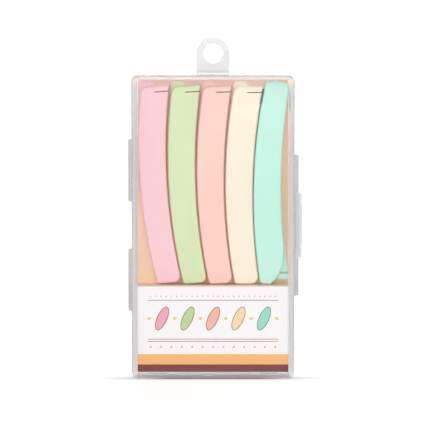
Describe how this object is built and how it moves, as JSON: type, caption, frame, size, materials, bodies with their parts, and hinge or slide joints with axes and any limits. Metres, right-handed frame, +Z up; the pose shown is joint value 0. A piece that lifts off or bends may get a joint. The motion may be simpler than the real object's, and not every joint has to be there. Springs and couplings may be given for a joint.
{
  "type": "folding eyebrow razor set in a hinged travel case",
  "caption": "Slim clear hinged case with a side latch and hang tab; it holds small folding eyebrow razors on a folded card stand.",
  "frame": {"origin": "middle of the case's bottom face, on the plane where the two shells part", "axes": "+Z up along the razors to the hang tab, +Y to the back of the case, +X to the latch side"},
  "size_m": [0.0671, 0.0144, 0.1309],
  "materials": {
    "clear_plastic": "clear moulded polypropylene, glossy",
    "card": "satin printed paperboard",
    "steel": "fine ground stainless strip",
    "pink_plastic": "fine satin moulded plastic",
    "green_plastic": "fine satin moulded plastic",
    "peach_plastic": "fine satin moulded plastic",
    "cream_plastic": "fine satin moulded plastic",
    "mint_plastic": "fine satin moulded plastic"
  },
  "bodies": {
    "case_base": {"case_base": "clear_plastic", "insert_card": "card", "lower_hinge_web": "clear_plastic", "upper_hinge_web": "clear_plastic", "hang_tab_web": "clear_plastic", "pink_handle": "pink_plastic", "pink_arm": "pink_plastic", "pink_blade": "steel", "pink_pivot_pin": "steel", "green_handle": "green_plastic", "green_arm": "green_plastic", "green_blade": "steel", "green_pivot_pin": "steel", "peach_handle": "peach_plastic", "peach_arm": "peach_plastic", "peach_blade": "steel", "peach_pivot_pin": "steel", "cream_handle": "cream_plastic", "cream_arm": "cream_plastic", "cream_blade": "steel", "cream_pivot_pin": "steel", "mint_handle": "mint_plastic", "mint_arm": "mint_plastic", "mint_blade": "steel", "mint_pivot_pin": "steel"},
    "case_lid": {"case_lid": "clear_plastic", "latch_web": "clear_plastic"},
    "latch": {"latch": "clear_plastic"},
    "hang_tab": {"hang_tab": "clear_plastic"}
  },
  "joints": [
    {"name": "lid_hinge", "type": "hinge", "parent": "case_base", "child": "case_lid", "pos_m": [-0.0327, 0, 0.0585], "axis": [0, 0, -1], "range_deg": [0, 180], "deforming": ["lower_hinge_web", "upper_hinge_web"]},
    {"name": "latch_flap", "type": "hinge", "parent": "case_lid", "child": "latch", "pos_m": [0.03308, -0.0016, 0.0585], "axis": [0, 0, -1], "range_deg": [0, 110], "deforming": ["latch_web"]},
    {"name": "hang_tab_fold", "type": "hinge", "parent": "case_base", "child": "hang_tab", "pos_m": [0, 0.0054, 0.11815], "axis": [1, 0, 0], "range_deg": [0, 90], "deforming": ["hang_tab_web"]}
  ]
}
